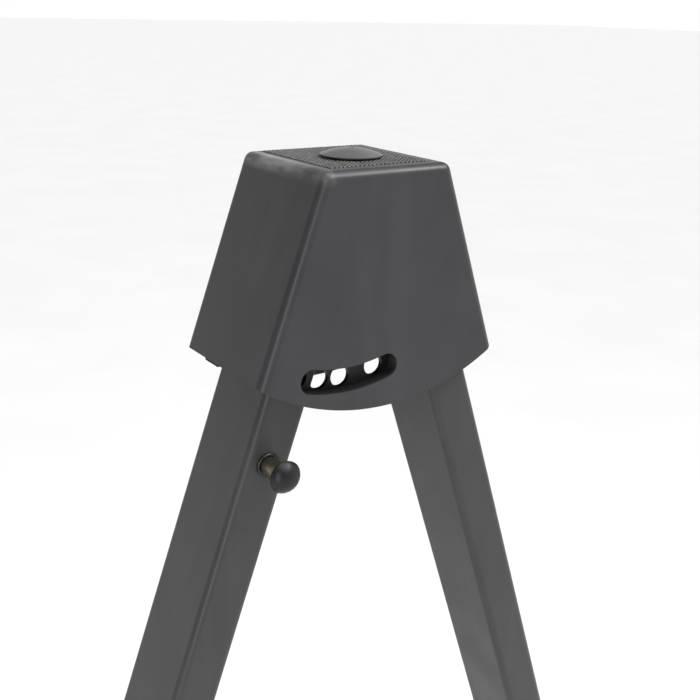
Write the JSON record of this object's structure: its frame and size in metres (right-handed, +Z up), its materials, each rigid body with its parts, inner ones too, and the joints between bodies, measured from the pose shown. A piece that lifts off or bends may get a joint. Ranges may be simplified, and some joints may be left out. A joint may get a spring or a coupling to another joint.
{
  "type": "folding tripod stand",
  "caption": "Folding tripod stand: tapered moulded hub with knurled top pad and slotted front, splayed rectangular telescoping legs with sprung pull pins.",
  "frame": {"origin": "on the floor, under the middle of the open stand's outline", "axes": "+Z up, +X to the hub's right, +Y from the hub's slotted front to the rear leg"},
  "size_m": [0.58, 0.4464, 0.7608],
  "materials": {
    "cover_plastic": "satin",
    "pad_rubber": "matte",
    "cap_steel": "satin",
    "zinc_steel": "satin",
    "bracket_paint": "satin",
    "bumper_rubber": "matte",
    "core_paint": "satin",
    "nylon_black": "satin",
    "leg_paint": "satin",
    "seat_black": "satin",
    "nickel": "satin",
    "spring_steel": "satin",
    "knob_plastic": "satin",
    "foot_rubber": "matte"
  },
  "bodies": {
    "hub": {"cover_front": "cover_plastic", "cover_top": "cover_plastic", "cover_back": "cover_plastic", "cover_sides": "cover_plastic", "top_pad": "pad_rubber", "centre_cap": "cap_steel", "centre_bolt": "zinc_steel", "centre_nut": "zinc_steel", "front_cheek_plate": "bracket_paint", "rear_cheek_plate": "bracket_paint", "bracket_top_plate": "bracket_paint", "rear_ear_pair": "bracket_paint", "rear_stop_pin": "zinc_steel", "leg_stop_spacers": "zinc_steel", "spacer_bolts": "zinc_steel", "spacer_nuts": "zinc_steel", "front_pivot_bolts": "zinc_steel", "front_pivot_nuts": "zinc_steel", "rear_pivot_bolt": "zinc_steel", "rear_pivot_nut": "zinc_steel", "leg_bumpers": "bumper_rubber"},
    "left_core": {"left_core_tube": "core_paint", "left_pivot_sleeve": "zinc_steel", "left_pivot_washers": "nylon_black", "left_travel_collar": "core_paint", "left_lower_glide": "nylon_black"},
    "left_leg": {"left_outer_tube": "leg_paint", "left_upper_bush": "nylon_black", "left_foot": "foot_rubber", "left_pin_seat": "seat_black", "left_pin_barrel": "nickel", "left_pin_spring": "spring_steel"},
    "left_plunger": {"left_pull_pin": "zinc_steel", "left_pull_knob": "knob_plastic"},
    "right_core": {"right_core_tube": "core_paint", "right_pivot_sleeve": "zinc_steel", "right_pivot_washers": "nylon_black", "right_travel_collar": "core_paint", "right_lower_glide": "nylon_black"},
    "right_leg": {"right_outer_tube": "leg_paint", "right_upper_bush": "nylon_black", "right_foot": "foot_rubber", "right_pin_seat": "seat_black", "right_pin_barrel": "nickel", "right_pin_spring": "spring_steel"},
    "right_plunger": {"right_pull_pin": "zinc_steel", "right_pull_knob": "knob_plastic"},
    "rear_core": {"rear_core_tube": "core_paint", "rear_pivot_sleeve": "zinc_steel", "rear_pivot_washers": "nylon_black", "rear_travel_collar": "core_paint", "rear_lower_glide": "nylon_black"},
    "rear_leg": {"rear_outer_tube": "leg_paint", "rear_upper_bush": "nylon_black", "rear_foot": "foot_rubber", "rear_pin_seat": "seat_black", "rear_pin_barrel": "nickel", "rear_pin_spring": "spring_steel"},
    "rear_plunger": {"rear_pull_pin": "zinc_steel", "rear_pull_knob": "knob_plastic"}
  },
  "joints": [
    {"name": "left_fold", "type": "hinge", "parent": "hub", "child": "left_core", "pos_m": [-0.0196, -0.17128, 0.733], "axis": [0, -1, 0], "range_deg": [0, 17]},
    {"name": "left_extend", "type": "slide", "parent": "left_core", "child": "left_leg", "axis": [-0.3256, 0, -0.9455], "range_m": [0, 0.3]},
    {"name": "left_pull", "type": "slide", "parent": "left_leg", "child": "left_plunger", "axis": [0, -1, 0], "range_m": [0, 0.006], "stiffness_N_per_m": 1500, "springref_m": -0.004, "deforming": ["left_pin_spring"]},
    {"name": "right_fold", "type": "hinge", "parent": "hub", "child": "right_core", "pos_m": [0.0196, -0.17128, 0.733], "axis": [0, 1, 0], "range_deg": [0, 17]},
    {"name": "right_extend", "type": "slide", "parent": "right_core", "child": "right_leg", "axis": [0.3256, 0, -0.9455], "range_m": [0, 0.3]},
    {"name": "right_pull", "type": "slide", "parent": "right_leg", "child": "right_plunger", "axis": [0, 1, 0], "range_m": [0, 0.006], "stiffness_N_per_m": 1500, "springref_m": -0.004, "deforming": ["right_pin_spring"]},
    {"name": "rear_fold", "type": "hinge", "parent": "hub", "child": "rear_core", "pos_m": [0, -0.11118, 0.676], "axis": [-1, 0, 0], "range_deg": [0, 24]},
    {"name": "rear_extend", "type": "slide", "parent": "rear_core", "child": "rear_leg", "axis": [0, 0.4067, -0.9135], "range_m": [0, 0.3]},
    {"name": "rear_pull", "type": "slide", "parent": "rear_leg", "child": "rear_plunger", "axis": [0, -0.9135, -0.4067], "range_m": [0, 0.006], "stiffness_N_per_m": 1500, "springref_m": -0.004, "deforming": ["rear_pin_spring"]}
  ]
}
